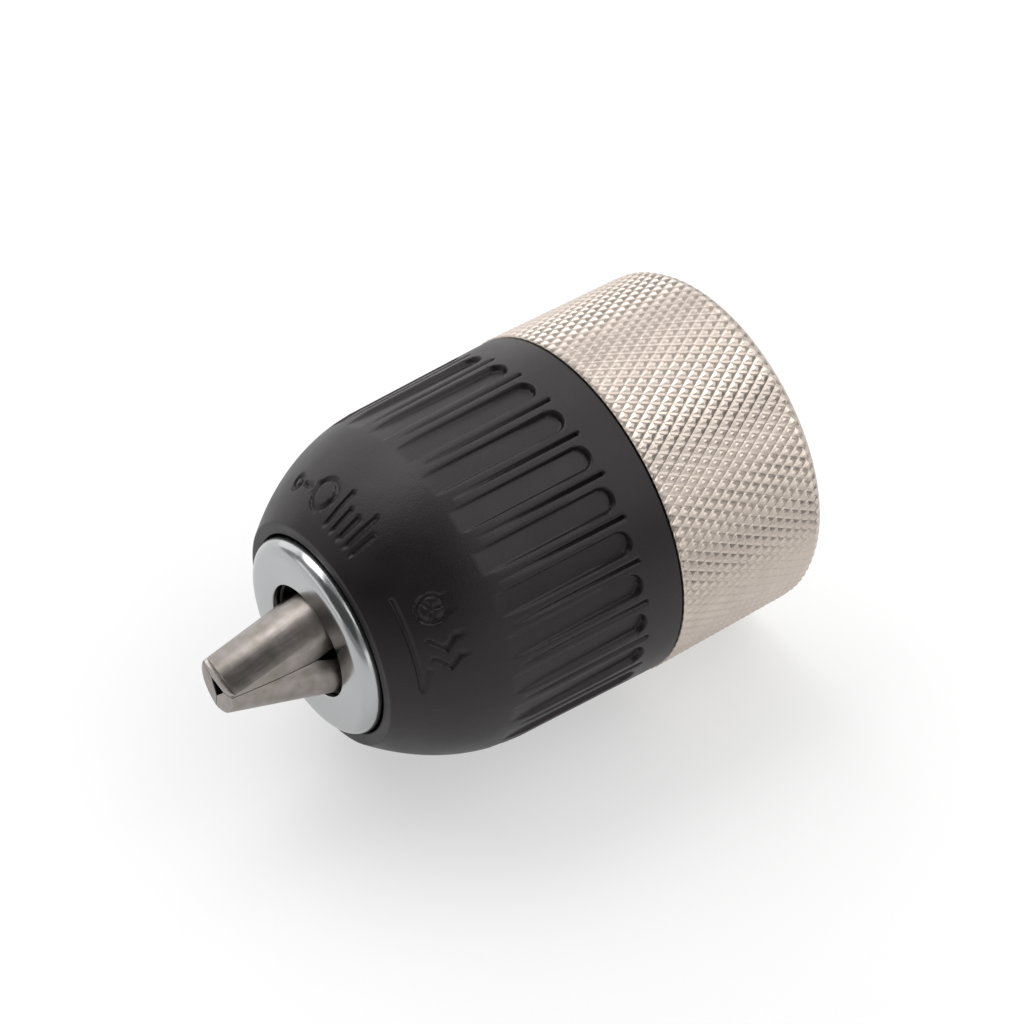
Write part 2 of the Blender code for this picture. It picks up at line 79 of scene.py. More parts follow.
# Front sleeve: an elliptical dome that runs into a slight cone
DOME_START = -18.4
DOME_AXIAL = 36.7
DOME_RADIAL = 64.75
DOME_RADIUS = 20.88
SEAM_RADIUS = 21.5
SEAM_EDGE = 0.12
SLEEVE_FRONT = -35.0
FRONT_RING = SLEEVE_FRONT + 0.30
FRONT_CORNER = 0.36
FRONT_CORNER_INSET = 0.42
LIP_RADIUS = 12.4
LIP_EDGE = 0.25
LIP_REAR = -26.5
THROAT_RADIUS, THROAT_REAR = 16.0, -23.5
BAND_BORE_RADIUS, BAND_BORE_FRONT = 18.45, -17.5
RACE_BORE_RADIUS = 19.05

# Wide flutes of the front sleeve, and the narrow grooves halfway between them
FLUTE_COUNT = 25
FLUTE_START = math.radians(-47.1)
FLUTE_HALF_WIDTH = 1.55
FLUTE_REAR = -5.0
FLUTE_WALL = 0.34
FLUTE_FLOOR_FRONT = -23.5
FLUTE_FLOOR_RADIUS = 20.37
FLUTE_FLOOR_SLOPE = 0.011
GROOVE_HALF_WIDTH = 0.38
GROOVE_REAR = -4.6
GROOVE_WALL = 0.40
GROOVE_RISE = 0.24

# Marks of the front sleeve: bearing in degrees, station and radius of their zero, and their scale
SIZE_MARK_PLACE = (-126.0, -32.7, 16.2, 1.16)
SIZE_MARK_HALF_WIDTH, SIZE_MARK_DEPTH = 0.24, 0.36
TURN_MARK_PLACE = (-46.5, -31.0, 16.4, 1.1)
TURN_MARK_HALF_WIDTH, TURN_MARK_DEPTH = 0.20, 0.28
MARK_EDGE = 0.14

# Stretches of the front sleeve that need close rings: the marks, and the two ends of the flutes
MARKS_FRONT, MARKS_REAR = -32.75, -27.8
FLUTE_RISE_FRONT, FLUTE_RISE_REAR = -24.5, -21.5
FLUTE_END_FRONT, FLUTE_END_REAR = -7.0, -4.4
LAST_RING = -0.45

# Rear sleeve. The knurl's fall is counted in grid steps from the top of a pyramid to its groove.
KNURL_RADIUS = 21.63
KNURL_COUNT = 100
KNURL_ANGLE = math.radians(30)
KNURL_STEPS = 4
KNURL_FALL = (0.0, -0.028, -0.10, -0.175, -0.20)
KNURL_CROSSING = -0.07
KNURL_FAMILIES = (-0.03, 0.02)
KNURL_FADE = 2
KNURL_WRAP = math.radians(50)
KNURL_MARGIN = 0.06
SEAM_FACE_INSET = 0.26
SLEEVE_INNER = 20.2
REAR_CORNER = 2.0
REAR_LIP_RADIUS, REAR_LIP_WALL, REAR_LIP_EDGE = 17.5, 1.6, 0.3

# Nose ring
RING_FRONT, RING_REAR = -36.8, -31.5
RING_RADIUS = 12.15
RING_WALL = 0.7
RING_HOLE = 6.92
RING_HOLE_FLARE = 0.13
RING_HOLE_EDGE = 0.25
RING_FILLET = 1.6
RING_INNER_CORNER = 0.5

# Jaws
JAW_COUNT = 3
JAW_RADIUS = 4.0
JAW_ANGLE = math.radians(15.9)
JAW_CROSSING = -44.6
JAW_FRONT = -7.0
JAW_REAR = 37.7
JAW_START = math.radians(-79.3)
JAW_REAR_CHAMFER = 1.2
LAND_RADIUS = 0.75
JAW_FACE_GAP = 0.04
PLAIN_JAW_EDGE, STEPPED_JAW_EDGE = 0.14, 0.07
STEPPED_JAW = 0
TIP_STEP_START = 1.9
TIP_STEP_DEPTH = 0.45
RELIEF_FRONT = -38.2
RELIEF_SLOPE_END = -36.4
RELIEF_REAR = -20.0
RELIEF_DEPTH = 0.65
RELIEF_INSIDE = 2.0
RELIEF_WIDTH = 14.0
# Jaw faces that lean towards the axis past this get painted shade
SHADE_FACE_LEAN = -0.4

# Body
BODY_FRONT = -35.8
NOSE_RADIUS, NOSE_SHOULDER = 11.15, -31.2
BARREL_RADIUS, BARREL_REAR = 12.2, -16.2
NUT_SEAT_RADIUS, NUT_SEAT_FRONT = 11.2, -15.8
WAIST_RADIUS = 14.6
PILOT_RADIUS, PILOT_FRONT = 15.8, -5.2
FLANGE_RADIUS, FLANGE_FRONT, FLANGE_REAR = 18.55, -3.45, 1.5
TAIL_RADIUS = 17.0
SEAT_RADIUS, SEAT_FRONT, SEAT_REAR = 19.95, 13.8, 19.6
HUB_RADIUS, HUB_FACE, HUB_CHAMFER = 17.2, 21.0, 0.4
BIT_BORE, BIT_BORE_END, BIT_BORE_CHAMFER = 6.7, -5.5, 0.2
SCREW_HOLE = 3.3
JAW_BORE_RADIUS, JAW_BORE_FRONT = 4.2, 5.0
CAPACITY_RADIUS = 6.5

# Spindle socket with its thread, 1/2 inch with 20 turns to the inch
SOCKET_RADIUS = 5.73
SOCKET_FLOOR = 5.0
SOCKET_MOUTH = 6.95
SOCKET_CHAMFER = 0.75
SOCKET_PITCH = 1.27
SOCKET_DEPTH = 0.62
SOCKET_WALL_SEAT = 6.9
SOCKET_WALL_GAP = 0.02
UNDERCUT_LENGTH, RUN_OUT_LENGTH = 1.0, 1.5

# Thread between the nut and the jaws
LEAD = 2.5
CREST_DEPTH = 1.0
CREST_HALF_WIDTH = 0.375
FLANK_SLOPE = 0.30
THREAD_ROOT = 0.25
THREAD_CLEARANCE = 0.18
CLEARANCE = 0.3
JAW_THREAD_FRONT, JAW_THREAD_REAR = -36.2, -8.2
GROOVE_HALF_SPAN = math.radians(22)
GROOVE_STEPS = 24

# Split nut and its band
NUT_FRONT, NUT_REAR = -15.0, -9.0
NUT_RADIUS = 16.5
NUT_MIDDLE_RADIUS = 14.0
BAND_INNER, BAND_OUTER = 16.8, 18.0
LUG_COUNT = 3
LUG_RADIUS = 18.15
LUG_SIZE = (1.3, 3.0, 4.8)

# Thrust bearing
BALL_COUNT = 16
BALL_RADIUS = 1.25
PITCH_RADIUS = 17.2
BALL_STATION = -6.2
RACE_GROOVE = 1.35
RACE_FACE = 1.05
RACE_BACK = 2.45
RACE_OUTER = 18.5
FRONT_RACE_INNER, REAR_RACE_INNER = 15.3, 16.05
CAGE_INNER, CAGE_OUTER, CAGE_HALF_THICKNESS = 15.5, 18.8, 0.45
POCKET_RADIUS, POCKET_REACH = 1.38, 1.5

# Floor, lights and camera, in metres and degrees
FLOOR_HALF_SIZE = 3.0
FLOOR_GREY, FLOOR_GLOW = 0.46, 0.50
CARD_GREY = 0.10
WORLD_STRENGTH = 0.41
PANEL_DISTANCE = 0.9
CAMERA_AZIMUTH, CAMERA_ELEVATION, CAMERA_DISTANCE = 53.29, 43.79, 0.32016
CAMERA_SHIFT = (-0.006484, -0.000705)
CAMERA_LENS, CAMERA_SENSOR = 95.54, 36.0


# ---------------------------------------------------------------- meshes

def finish_mesh(name, points, faces, material, sharp=SHARP_ANGLE):
    """A piece from points in the axis frame. Its faces are turned to point outwards."""
    mesh = bpy.data.meshes.new(name)
    mesh.from_pydata((np.asarray(points) * MM).tolist(), [], faces)
    mesh.transform(AXIS_FRAME)
    shape = bmesh.new()
    shape.from_mesh(mesh)
    bmesh.ops.recalc_face_normals(shape, faces=shape.faces)
    shape.to_mesh(mesh)
    shape.free()
    mesh.shade_smooth()
    mesh.set_sharp_from_angle(angle=math.radians(sharp))
    mesh.materials.append(material)
    piece = bpy.data.objects.new(name, mesh)
    bpy.context.scene.collection.objects.link(piece)
    return piece


def revolved(name, bearings, radii, stations, material, sharp=SHARP_ANGLE, diagonals=None, whole=True):
    """A ring-shaped piece from a closed stack of rings.

    radii and stations have one row for each ring and one column for each bearing. The last ring joins the
    first. diagonals says, for each cell of the stack, which way it is split into triangles. A piece that
    isn't whole stops at its first and last bearing, where it gets a flat end."""
    rings, columns = radii.shape
    points = np.stack([radii * np.cos(bearings), radii * np.sin(bearings), stations], axis=-1)
    index = np.arange(rings * columns).reshape(rings, columns)
    across = np.roll(index, -1, axis=1)
    ahead = np.roll(index, -1, axis=0)
    corner = np.roll(across, -1, axis=0)
    quads = np.stack([index, across, corner, ahead], axis=-1)
    if not whole:
        ends = [index[:, 0].tolist(), index[::-1, -1].tolist()]
        faces = quads[:, :-1].reshape(-1, 4).tolist() + ends
    elif diagonals is None:
        faces = quads.reshape(-1, 4).tolist()
    else:
        plain = quads[diagonals == 0].tolist()
        rising = quads[diagonals == 1]
        falling = quads[diagonals == -1]
        faces = plain + [*rising[:, [0, 1, 2]].tolist(), *rising[:, [0, 2, 3]].tolist()]
        faces += [*falling[:, [0, 1, 3]].tolist(), *falling[:, [1, 2, 3]].tolist()]
    return finish_mesh(name, points.reshape(-1, 3), faces, material, sharp)


def turned(name, profile, sides, material, sharp=SHARP_ANGLE):
    """A piece turned from a closed outline of (radius, station) points."""
    bearings = np.linspace(0, 2 * math.pi, sides, endpoint=False)
    outline = np.array(profile, float)
    flat = np.ones(sides)
    return revolved(name, bearings, outline[:, :1] * flat, outline[:, 1:] * flat, material, sharp)


def arc(radius, station, size, start, end, steps):
    """Points of an arc in the (radius, station) plane, with its angles in degrees."""
    angles = np.radians(np.linspace(start, end, steps + 1))
    return [(radius + size * math.cos(a), station + size * math.sin(a)) for a in angles]


def smooth_step(value):
    """A soft rise from 0 to 1 as value runs from 0 to 1."""
    value = np.clip(value, 0, 1)
    return value * value * (3 - 2 * value)


def spaced(*stops):
    """Numbers from stop to stop, where each stop is (value, steps from the one before)."""
    values = [stops[0][0]]
    for (value, steps) in stops[1:]:
        values += list(np.linspace(values[-1], value, steps + 1)[1:])
    return np.array(values)


# ------------------------------------------------------------- materials

def new_material(name, colour, roughness, metallic, specular=0.5):
    """A plain material. Its colour and roughness hold wherever nothing varies them."""
    made = bpy.data.materials.new(name)
    made.use_nodes = True
    shader = made.node_tree.nodes["Principled BSDF"]
    shader.inputs["Base Color"].default_value = (*colour, 1)
    shader.inputs["Roughness"].default_value = roughness
    shader.inputs["Metallic"].default_value = metallic
    shader.inputs["Specular IOR Level"].default_value = specular
    return made


def node(material, kind, **settings):
    made = material.node_tree.nodes.new(kind)
    for key, value in settings.items():
        setattr(made, key, value)
    return made


def link(material, source, target):
    material.node_tree.links.new(source, target)


def noise(material, cell, detail=3.0, stretch=(1, 1, 1), roughness=0.5):
    """Noise whose blotches are about cell millimetres across, longer along an axis with a stretch above 1."""
    place = node(material, "ShaderNodeTexCoord")
    scale = node(material, "ShaderNodeMapping")
    scale.inputs["Scale"].default_value = [1 / (cell * MM * s) for s in stretch]
    made = node(material, "ShaderNodeTexNoise")
    made.inputs["Scale"].default_value = 1
    made.inputs["Detail"].default_value = detail
    made.inputs["Roughness"].default_value = roughness
    link(material, place.outputs["Object"], scale.inputs["Vector"])
    link(material, scale.outputs["Vector"], made.inputs["Vector"])
    return made.outputs["Fac"]


def between(material, factor, low, high, start=0.3, end=0.7):
    """A number that runs from low to high as factor runs from start to end."""
    made = node(material, "ShaderNodeMapRange")
    made.inputs["From Min"].default_value = start
    made.inputs["From Max"].default_value = end
    made.inputs["To Min"].default_value = low
    made.inputs["To Max"].default_value = high
    link(material, factor, made.inputs["Value"])
    return made.outputs["Result"]


def mixed_colour(material, factor, first, second):
    """A colour between two. Sockets 6, 7 and 2 of a Mix node are its two colours and its result."""
    made = node(material, "ShaderNodeMix", data_type="RGBA")
    made.inputs[6].default_value = (*first, 1)
    made.inputs[7].default_value = (*second, 1)
    link(material, factor, made.inputs[0])
    return made.outputs[2]


def add_bump(material, *layers):
    """Bump from layers of (height factor, depth in millimetres), one over the other."""
    shader = material.node_tree.nodes["Principled BSDF"]
    below = None
    for factor, depth in layers:
        bump = node(material, "ShaderNodeBump")
        bump.inputs["Strength"].default_value = 1
        bump.inputs["Distance"].default_value = depth * MM
        link(material, factor, bump.inputs["Height"])
        if below:
            link(material, below, bump.inputs["Normal"])
        below = bump.outputs["Normal"]
    link(material, below, shader.inputs["Normal"])


def shader_input(material, name):
    return material.node_tree.nodes["Principled BSDF"].inputs[name]


def vary_colour(material, factor, first, second):
    """Lets the base colour drift from first to second over the middle of factor's range."""
    drift = mixed_colour(material, between(material, factor, 0, 1), first, second)
    link(material, drift, shader_input(material, "Base Color"))


def vary_roughness(material, factor, low, high):
    link(material, between(material, factor, low, high), shader_input(material, "Roughness"))


def black_plastic():
    """Moulded nylon with a faint warm sheen, a shallow waviness and a fine grain."""
    made = new_material("moulded_black_nylon", (0.005, 0.0045, 0.0048), 0.42, 0.0, 0.41)
    shader_input(made, "Specular Tint").default_value = (1.0, 0.91, 0.94, 1)
    blotch = noise(made, 6.0, 2)
    grain = noise(made, 0.22, 2)
    vary_colour(made, blotch, (0.0024, 0.0020, 0.0022), (0.0042, 0.0036, 0.0038))
    vary_roughness(made, blotch, 0.41, 0.49)
    add_bump(made, (noise(made, 3.0, 2), 0.03), (noise(made, 0.7, 3), 0.012), (grain, 0.018))
    return made


def nickel_plate():
    """Warm, slightly dull plating, as on the knurled sleeve."""
    made = new_material("nickel_plate", (0.62, 0.54, 0.47), 0.36, 1.0)
    blotch = noise(made, 2.5, 3)
    vary_colour(made, blotch, (0.50, 0.435, 0.385), (0.55, 0.48, 0.425))
    vary_roughness(made, noise(made, 0.5, 3), 0.26, 0.36)
    add_bump(made, (noise(made, 0.12, 2), 0.006))
    return made


def bright_plate():
    """Bright plating with a faint ripple."""
    made = new_material("bright_plate", (0.41, 0.415, 0.42), 0.18, 1.0)
    vary_roughness(made, noise(made, 1.2, 3), 0.15, 0.23)
    add_bump(made, (noise(made, 2.0, 2), 0.006))
    return made


def jaw_steel():
    """Hardened steel, ground lengthwise and a little stained."""
    made = new_material("ground_jaw_steel", (0.45, 0.41, 0.38), 0.30, 1.0)
    streaks = noise(made, 0.12, 3, stretch=(1, 1, 14))
    blotch = noise(made, 1.6, 3)
    vary_colour(made, blotch, (0.225, 0.207, 0.18), (0.325, 0.288, 0.277))
    vary_roughness(made, streaks, 0.31, 0.45)
    add_bump(made, (blotch, 0.015), (streaks, 0.004))
    return made


def turning_marks(material, cell):
    """Noise in rings round the chuck's axis, as a lathe tool leaves them, about cell millimetres apart."""
    place = node(material, "ShaderNodeTexCoord")
    apart = node(material, "ShaderNodeSeparateXYZ")
    radius = node(material, "ShaderNodeVectorMath", operation="LENGTH")
    flat = node(material, "ShaderNodeCombineXYZ")
    both = node(material, "ShaderNodeCombineXYZ")
    made = node(material, "ShaderNodeTexNoise", noise_dimensions="2D")
    made.inputs["Scale"].default_value = 1 / (cell * MM)
    made.inputs["Detail"].default_value = 2
    link(material, place.outputs["Object"], apart.inputs["Vector"])
    link(material, apart.outputs["X"], flat.inputs["X"])
    link(material, apart.outputs["Z"], flat.inputs["Z"])
    link(material, flat.outputs["Vector"], radius.inputs[0])
    link(material, radius.outputs["Value"], both.inputs["X"])
    link(material, apart.outputs["Y"], both.inputs["Y"])
    link(material, both.outputs["Vector"], made.inputs["Vector"])
    return made.outputs["Fac"]


def machined_steel():
    """Bare steel with the rings that turning leaves."""
    made = new_material("machined_steel", (0.50, 0.49, 0.48), 0.30, 1.0)
    rings = turning_marks(made, 0.22)
    blotch = noise(made, 5.0, 3)
    vary_colour(made, blotch, (0.47, 0.46, 0.45), (0.53, 0.52, 0.51))
    vary_roughness(made, rings, 0.24, 0.42)
    add_bump(made, (rings, 0.006))
    return made


def painted_shade_steel():
    """Near-black steel with a blotchy tone, painted shade for the front of the body, its bores and the jaws'
    inner sides.
    """
    made = new_material("painted_shade_dark_steel", (0.025, 0.023, 0.021), 0.38, 1.0)
    blotch = noise(made, 1.5, 3)
    vary_colour(made, blotch, (0.018, 0.0165, 0.015), (0.032, 0.029, 0.027))
    vary_roughness(made, noise(made, 0.3, 2), 0.32, 0.46)
    return made


def polished_steel():
    made = new_material("polished_bearing_steel", (0.62, 0.62, 0.63), 0.12, 1.0)
    vary_roughness(made, noise(made, 0.8, 3), 0.07, 0.18)
    add_bump(made, (noise(made, 0.3, 2), 0.001))
    return made


def cage_brass():
    made = new_material("cage_brass", (0.66, 0.50, 0.24), 0.30, 1.0)
    blotch = noise(made, 1.5, 3)
    vary_colour(made, blotch, (0.58, 0.42, 0.19), (0.72, 0.55, 0.28))
    vary_roughness(made, blotch, 0.26, 0.38)
    return made


# ---------------------------------------------------------- front sleeve

def dome_radius(stations):
    """Radius of the front sleeve's outer surface before anything is moulded into it."""
    reach = np.minimum(stations - DOME_START, 0) / DOME_AXIAL
    dome = DOME_RADIUS - DOME_RADIAL * (1 - np.sqrt(1 - reach * reach))
    cone = DOME_RADIUS + (stations - DOME_START) / -DOME_START * (SEAM_RADIUS - DOME_RADIUS)
    return np.where(stations < DOME_START, dome, cone)


def flute_floor(stations):
    """Radius of the flutes' floors, which lie on a slight cone."""
    return FLUTE_FLOOR_RADIUS + (stations - FLUTE_FLOOR_FRONT) * FLUTE_FLOOR_SLOPE


def slot_share(across, stations, half_width, rear, wall):
    """How far into a slot a point is: 0 on the surface beside it, 1 on its floor.

    The rear end of a slot is half round."""
    centre = rear - half_width
    past = np.maximum(stations - centre, 0)
    outside = np.hypot(across, past) - half_width
    return smooth_step(-outside / wall)


def nearest_slot(bearings, start):
    """Distance round the sleeve from the middle of the nearest of its equally spaced slots."""
    pitch = 2 * math.pi / FLUTE_COUNT
    return ((bearings - start + pitch / 2) % pitch - pitch / 2) * DOME_RADIUS


def stroke_distance(points, start, end):
    """Distance of each point from a straight stroke."""
    start, end = np.array(start, float), np.array(end, float)
    along = end - start
    share = np.clip(((points - start) @ along) / (along @ along), 0, 1)
    return np.linalg.norm(points - start - share[..., None] * along, axis=-1)


def ring_distance(points, centre, radius):
    """Distance of each point from a circle."""
    return np.abs(np.linalg.norm(points - np.array(centre, float), axis=-1) - radius)


def mark_points(bearings, stations, bearing, station, radius, scale):
    """Coordinates of the surface in a mark's own units: (round the sleeve, along the axis)."""
    turn = (bearings - math.radians(bearing) + math.pi) % (2 * math.pi) - math.pi
    return np.stack([turn * radius, stations - station], axis=-1) / scale


def size_mark(bearings, stations):
    """A generic range mark: a thin shank, a dash, a thick shank, and the bars of a scale."""
    points = mark_points(bearings, stations, *SIZE_MARK_PLACE)
    foot, middle, short, tall = 0.1, 1.6, 2.0, 3.1
    thin_shank, thin_radius, thick_shank, thick_radius = 0.9, 0.62, 5.6, 1.35
    dash_start, dash_end = 2.3, 3.4
    first_bar, bar_pitch = 8.2, 1.15
    distances = [
        ring_distance(points, (thin_shank, middle), thin_radius),
        stroke_distance(points, (dash_start, middle), (dash_end, middle)),
        ring_distance(points, (thick_shank, middle), thick_radius),
    ]
    for bar, top in enumerate((tall, short, short, tall, short)):
        across = first_bar + bar_pitch * bar
        distances.append(stroke_distance(points, (across, foot), (across, top)))
    return np.min(distances, axis=0)


def turn_mark(bearings, stations):
    """A generic jaw sign with two chevrons, over an arrow that shows the way the sleeve turns."""
    points = mark_points(bearings, stations, *TURN_MARK_PLACE)
    foot, middle, top = 0.5, 1.75, 3.0
    sign, sign_radius, slot_start, slot_end = 1.5, 1.25, 0.45, 1.2
    first_chevron, chevron_pitch, chevron_reach = 4.3, 1.9, 1.2
    arrow_tail, arrow_tip, arrow_barb = (-0.8, -0.95), (9.6, -0.95), (7.3, -0.1)
    distances = [ring_distance(points, (sign, middle), sign_radius)]
    for third in range(JAW_COUNT):
        a = math.radians(90 + 120 * third)
        near, far = [(sign + reach * math.cos(a), middle + reach * math.sin(a))
                     for reach in (slot_start, slot_end)]
        distances.append(stroke_distance(points, near, far))
    for step in range(2):
        left = first_chevron + chevron_pitch * step
        tip = (left + chevron_reach, middle)
        distances.append(stroke_distance(points, (left, foot), tip))
        distances.append(stroke_distance(points, tip, (left, top)))
    distances.append(stroke_distance(points, arrow_tail, arrow_tip))
    distances.append(stroke_distance(points, arrow_barb, arrow_tip))
    return np.min(distances, axis=0)


def engraved(distance, half_width, depth):
    """Depth of an engraved line, by the distance from its middle."""
    return depth * smooth_step((half_width + MARK_EDGE / 2 - distance) / MARK_EDGE)


def sleeve_radius(bearings, stations):
    """Outer radius of the front sleeve, with its flutes, grooves and marks."""
    base = dome_radius(stations)
    floor = flute_floor(stations)
    from_flute = nearest_slot(bearings, FLUTE_START)
    from_groove = nearest_slot(bearings, FLUTE_START + math.pi / FLUTE_COUNT)
    flutes = slot_share(from_flute, stations, FLUTE_HALF_WIDTH, FLUTE_REAR, FLUTE_WALL)
    grooves = slot_share(from_groove, stations, GROOVE_HALF_WIDTH, GROOVE_REAR, GROOVE_WALL)
    cut_depth = flutes * np.maximum(base - floor, 0) + grooves * np.maximum(base - floor - GROOVE_RISE, 0)
    cut_depth += engraved(size_mark(bearings, stations), SIZE_MARK_HALF_WIDTH, SIZE_MARK_DEPTH)
    cut_depth += engraved(turn_mark(bearings, stations), TURN_MARK_HALF_WIDTH, TURN_MARK_DEPTH)
    return base - cut_depth


def make_front_sleeve(material):
    """The moulded grip sleeve. Its columns lie close together at the walls of the flutes and grooves."""
    pitch = 2 * math.pi / FLUTE_COUNT
    half = pitch / 2 * DOME_RADIUS
    side = spaced((0, 0), (FLUTE_HALF_WIDTH - FLUTE_WALL, 7), (FLUTE_HALF_WIDTH, 4),
                  (half - GROOVE_HALF_WIDTH, 2), (half, 4))
    period = np.concatenate([-side[:0:-1], side])[1:] / DOME_RADIUS
    bearings = (FLUTE_START + period[None, :] + pitch * np.arange(FLUTE_COUNT)[:, None]).ravel()
    seam_ring = -SHOWN_HALF_GAP - SEAM_EDGE
    outer = spaced((FRONT_RING, 0), (MARKS_FRONT, 5), (MARKS_REAR, 40), (FLUTE_RISE_FRONT, 5),
                   (FLUTE_RISE_REAR, 10), (FLUTE_END_FRONT, 8), (FLUTE_END_REAR, 22), (LAST_RING, 4),
                   (seam_ring, 1))
    rings = [(sleeve_radius(bearings, np.full_like(bearings, s)), s) for s in outer]
    corner_radius = float(dome_radius(np.array(FRONT_RING))) - FRONT_CORNER_INSET
    front_corner = arc(corner_radius, SLEEVE_FRONT + FRONT_CORNER, FRONT_CORNER, -90, -30, 4)
    rear_edge = arc(float(dome_radius(np.array(0.0))) - SEAM_EDGE, seam_ring, SEAM_EDGE, 30, 90, 2)
    inside = [
        (RACE_BORE_RADIUS, -SHOWN_HALF_GAP), (RACE_BORE_RADIUS, NUT_REAR), (BAND_BORE_RADIUS, NUT_REAR),
        (BAND_BORE_RADIUS, BAND_BORE_FRONT), (THROAT_RADIUS, THROAT_REAR), (LIP_RADIUS, LIP_REAR),
    ]
    lip = arc(LIP_RADIUS + LIP_EDGE, SLEEVE_FRONT + LIP_EDGE, LIP_EDGE, 180, 270, 4)
    flat = np.ones_like(bearings)
    stack = rings + [(r * flat, s) for r, s in rear_edge + inside + lip + front_corner]
    radii = np.array([r for r, _ in stack])
    stations = np.array([s * flat for _, s in stack])
    return revolved("front_sleeve_shell", bearings, radii, stations, material, sharp=50)


# ----------------------------------------------------------- rear sleeve

def make_rear_sleeve(material):
    """The knurled sleeve. Its grid follows the two families of knurl grooves, so each is a clean edge."""
    whole = 2 * KNURL_STEPS
    columns = KNURL_COUNT * whole
    bearings = np.linspace(0, 2 * math.pi, columns, endpoint=False)
    front = SHOWN_HALF_GAP + KNURL_MARGIN
    straight = REAR_END - REAR_CORNER - front
    reach = straight + REAR_CORNER * KNURL_WRAP
    half_pitch = math.pi * KNURL_RADIUS / KNURL_COUNT
    half_length = half_pitch / math.tan(KNURL_ANGLE)
    rows = round(reach / half_length) * KNURL_STEPS
    travelled = np.linspace(0, reach, rows + 1)
    turn = np.maximum(travelled - straight, 0) / REAR_CORNER

    # Steps of each grid point from the top of the nearest pyramid, where KNURL_STEPS is in a groove
    column, row = np.meshgrid(np.arange(columns), np.arange(rows + 1))
    across = np.abs((column + KNURL_STEPS) % whole - KNURL_STEPS)
    along = np.abs((row + KNURL_STEPS) % whole - KNURL_STEPS)
    away = np.minimum(across + along, whole - across - along)
    in_groove = away == KNURL_STEPS
    crossing = in_groove & (np.minimum(across, along) == 0)
    same_family = ((column % whole) < KNURL_STEPS) == ((row % whole) < KNURL_STEPS)
    groove = in_groove * np.where(same_family, *KNURL_FAMILIES)

    # The knurl fades in over its first rows and out over its last ones
    fade = np.clip((np.minimum(row, rows - row) + 0.5) / KNURL_FADE, 0, 1)
    knurl = (np.array(KNURL_FALL)[away] + KNURL_CROSSING * crossing + groove) * fade

    base = KNURL_RADIUS - REAR_CORNER * (1 - np.cos(turn))
    stations = front + np.minimum(travelled, straight) + REAR_CORNER * np.sin(turn)
    plain_start = math.degrees(KNURL_WRAP) + 5
    corner = arc(KNURL_RADIUS - REAR_CORNER, REAR_END - REAR_CORNER, REAR_CORNER, plain_start, 90, 7)
    lip = arc(REAR_LIP_RADIUS + REAR_LIP_EDGE, REAR_END - REAR_LIP_EDGE, REAR_LIP_EDGE, 90, 180, 4)
    inner = [
        (REAR_LIP_RADIUS, REAR_END - REAR_LIP_WALL), (SLEEVE_INNER, REAR_END - REAR_LIP_WALL),
        (SLEEVE_INNER, SHOWN_HALF_GAP), (KNURL_RADIUS - SEAM_FACE_INSET, SHOWN_HALF_GAP),
    ]
    flat = np.ones(columns)
    rest_radii, rest_stations = zip(*[(r * flat, s * flat) for r, s in corner + lip + inner])
    radii = np.concatenate([base[:, None] + knurl * np.cos(turn)[:, None], rest_radii])
    stations = np.concatenate([stations[:, None] + knurl * np.sin(turn)[:, None], rest_stations])
    diagonals = np.zeros(radii.shape, int)
    diagonals[:rows] = np.where(same_family, -1, 1)[:rows]
    return revolved("rear_sleeve_shell", bearings, radii, stations, material, sharp=18, diagonals=diagonals)


# -------------------------------------------------------------- nose ring

def make_nose_ring(material):
    """The pressed cap: a thin wall with a rounded rim and a hole for the jaws."""
    inner = RING_RADIUS - RING_WALL
    back = RING_FRONT + RING_WALL
    profile = [
        *arc(RING_HOLE + RING_HOLE_EDGE, RING_FRONT + RING_HOLE_EDGE, RING_HOLE_EDGE, 180, 270, 4),
        *arc(RING_RADIUS - RING_FILLET, RING_FRONT + RING_FILLET, RING_FILLET, -90, 0, 12),
        (RING_RADIUS, RING_REAR), (inner, RING_REAR),
        *arc(inner - RING_INNER_CORNER, back + RING_INNER_CORNER, RING_INNER_CORNER, 0, -90, 6),
        (RING_HOLE + RING_HOLE_FLARE, back),
    ]
    return turned("nose_ring_shell", profile, RING_SIDES, material)


# ------------------------------------------------------------------- jaws

def jaw_bearing(index):
    """Bearing of a jaw's centre line."""
    return JAW_START + index * 2 * math.pi / JAW_COUNT


def rod_matrix(index):
    """Axis frame from a jaw's own frame, whose Z is the jaw's centre line, in metres."""
    spin = Matrix.Rotation(jaw_bearing(index), 4, "Z")
    return Matrix.Translation((0, 0, JAW_CROSSING * MM)) @ spin @ Matrix.Rotation(JAW_ANGLE, 4, "Y")


def new_object(name, shape):
    """An object from a bmesh, with its faces pointing out."""
    bmesh.ops.recalc_face_normals(shape, faces=shape.faces)
    mesh = bpy.data.meshes.new(name)
    shape.to_mesh(mesh)
    shape.free()
    made = bpy.data.objects.new(name, mesh)
    bpy.context.scene.collection.objects.link(made)
    return made


def cylinder(radius, low, high, sides):
    """A bmesh cylinder along Z, from low to high."""
    shape = bmesh.new()
    middle = Matrix.Translation((0, 0, (low + high) / 2 * MM))
    bmesh.ops.create_cone(shape, cap_ends=True, segments=sides, radius1=radius * MM, radius2=radius * MM,
                          depth=(high - low) * MM, matrix=middle)
    return shape


def smooth(piece, material, sharp=SHARP_ANGLE):
    """Gives a finished piece its material and soft shading, with hard edges above an angle in degrees."""
    piece.data.shade_smooth()
    piece.data.set_sharp_from_angle(angle=math.radians(sharp))
    piece.data.materials.clear()
    piece.data.materials.append(material)
    return piece


def cut(piece, cutter, operation="DIFFERENCE"):
    """Applies a Boolean and removes its cutter."""
    boolean = piece.modifiers.new("cut", "BOOLEAN")
    boolean.operation = operation
    boolean.solver = "EXACT"
    boolean.object = cutter
    apply_modifiers(piece)
    bpy.data.objects.remove(cutter, do_unlink=True)


